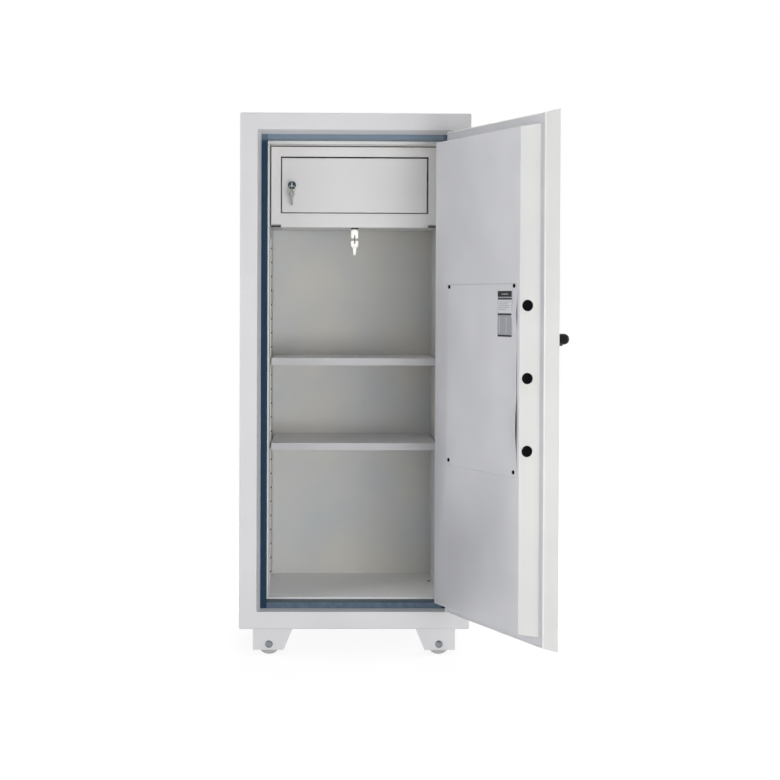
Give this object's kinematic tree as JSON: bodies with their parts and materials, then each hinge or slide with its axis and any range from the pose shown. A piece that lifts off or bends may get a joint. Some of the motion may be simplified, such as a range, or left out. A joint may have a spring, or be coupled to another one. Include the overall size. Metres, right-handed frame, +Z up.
{
  "type": "drop safe with deposit drawer",
  "caption": "Upright fire-resistant steel safe on rollers, door open on a lockable deposit drawer and adjustable shelves.",
  "frame": {"origin": "centre of the cabinet's flat underside, halfway across its width and its depth", "axes": "+Z up, -Y towards the front where the door is, +X towards the hinge side; the four rollers reach 65 mm below the origin"},
  "size_m": [0.7272, 0.9637, 1.295],
  "materials": {
    "body_paint": "semi-gloss",
    "inner_paint": "semi-gloss",
    "door_paint": "semi-gloss",
    "plug_paint": "satin",
    "seal_plastic": "matte",
    "insulation": "matte mineral fill",
    "zinc_steel": "zinc plated",
    "nickel": "nickel plated",
    "black_steel": "black, glossy",
    "black_plastic": "black, satin",
    "label_foil": "plain label film",
    "wheel_nylon": "painted over"
  },
  "bodies": {
    "cabinet": {"outer_shell": "body_paint", "back_cover": "body_paint", "body_insulation": "insulation", "seal_frame": "seal_plastic", "inner_liner": "inner_paint", "shelf_rail_front_left": "inner_paint", "shelf_rail_rear_left": "inner_paint", "drawer_runner_left": "zinc_steel", "shelf_rail_front_right": "inner_paint", "shelf_rail_rear_right": "inner_paint", "drawer_runner_right": "zinc_steel", "shelf_upper": "inner_paint", "shelf_lower": "inner_paint", "drawer_case": "inner_paint", "drawer_case_front": "inner_paint", "base_lock_body": "nickel", "hinge_body_lower": "body_paint", "hinge_body_upper": "body_paint", "foot_bracket_front_left": "body_paint", "axle_bolt_front_left": "zinc_steel", "foot_bracket_front_right": "body_paint", "axle_bolt_front_right": "zinc_steel", "foot_bracket_rear_left": "body_paint", "axle_bolt_rear_left": "zinc_steel", "foot_bracket_rear_right": "body_paint", "axle_bolt_rear_right": "zinc_steel"},
    "door": {"hinge_door_lower": "door_paint", "hinge_door_upper": "door_paint", "door_skin": "door_paint", "door_insulation": "insulation", "door_plug_casing": "plug_paint", "access_panel": "plug_paint", "panel_screw_1": "black_steel", "panel_screw_2": "black_steel", "panel_screw_3": "black_steel", "panel_screw_4": "black_steel", "label_plate": "label_foil", "handle_rosette": "black_plastic", "dial_ring": "nickel", "lock_case": "zinc_steel"},
    "drawer": {"drawer_front": "inner_paint", "drawer_tray": "inner_paint", "drawer_lock_body": "nickel"},
    "drawer_lock": {"drawer_lock_plug": "nickel", "drawer_key": "nickel"},
    "drawer_fob": {"drawer_spare_key": "nickel"},
    "base_lock": {"base_lock_plug": "nickel", "base_key": "nickel"},
    "base_fob": {"base_spare_key": "nickel"},
    "handle": {"handle_lever": "black_plastic", "handle_spindle": "zinc_steel"},
    "boltwork": {"bolt_bar": "zinc_steel", "locking_bolt_1": "black_steel", "locking_bolt_2": "black_steel", "locking_bolt_3": "black_steel"},
    "dial": {"combination_dial": "black_plastic"},
    "roller_front_left": {"roller_front_left": "wheel_nylon"},
    "roller_front_right": {"roller_front_right": "wheel_nylon"},
    "roller_rear_left": {"roller_rear_left": "wheel_nylon"},
    "roller_rear_right": {"roller_rear_right": "wheel_nylon"}
  },
  "joints": [
    {"name": "door_hinge", "type": "hinge", "parent": "cabinet", "child": "door", "pos_m": [0.246, -0.265, 0.615], "axis": [0, 0, 1], "range_deg": [-113, 67]},
    {"name": "drawer_slide", "type": "slide", "parent": "cabinet", "child": "drawer", "axis": [0, -1, 0], "range_m": [0, 0.25]},
    {"name": "drawer_lock_turn", "type": "hinge", "parent": "drawer", "child": "drawer_lock", "pos_m": [-0.154, -0.118, 1.067], "axis": [0, 1, 0], "range_deg": [0, 90]},
    {"name": "drawer_fob_swing", "type": "hinge", "parent": "drawer_lock", "child": "drawer_fob", "pos_m": [-0.154, -0.1359, 1.0606], "axis": [0, 1, 0], "range_deg": [-90, 0]},
    {"name": "base_lock_turn", "type": "hinge", "parent": "cabinet", "child": "base_lock", "pos_m": [0.001, -0.095, 0.964], "axis": [0, 0, 1], "range_deg": [0, 90]},
    {"name": "base_fob_swing", "type": "hinge", "parent": "base_lock", "child": "base_fob", "pos_m": [0.001, -0.095, 0.9397], "axis": [-1, 0, 0], "range_deg": [-40, 40]},
    {"name": "handle_turn", "type": "hinge", "parent": "door", "child": "handle", "pos_m": [0.39083, -0.64459, 0.702], "axis": [-0.9205, -0.3907, 0], "range_deg": [0, 90]},
    {"name": "bolt_throw", "type": "slide", "parent": "door", "child": "boltwork", "axis": [0.3907, -0.9205, 0], "range_m": [0, 0.032]},
    {"name": "dial_spin", "type": "hinge", "parent": "door", "child": "dial", "pos_m": [0.32831, -0.4973, 0.702], "axis": [-0.9205, -0.3907, 0], "continuous": true},
    {"name": "roller_front_left_spin", "type": "hinge", "parent": "cabinet", "child": "roller_front_left", "pos_m": [-0.2035, -0.212, -0.038], "axis": [0, 1, 0], "continuous": true},
    {"name": "roller_front_right_spin", "type": "hinge", "parent": "cabinet", "child": "roller_front_right", "pos_m": [0.2035, -0.212, -0.038], "axis": [0, 1, 0], "continuous": true},
    {"name": "roller_rear_left_spin", "type": "hinge", "parent": "cabinet", "child": "roller_rear_left", "pos_m": [-0.2035, 0.212, -0.038], "axis": [0, 1, 0], "continuous": true},
    {"name": "roller_rear_right_spin", "type": "hinge", "parent": "cabinet", "child": "roller_rear_right", "pos_m": [0.2035, 0.212, -0.038], "axis": [0, 1, 0], "continuous": true}
  ],
  "couplings": [
    {"joint": "drawer_fob_swing", "follows": "drawer_lock_turn", "ratio": -1},
    {"joint": "handle_turn", "follows": "bolt_throw", "rad_per_m": 49.087}
  ]
}
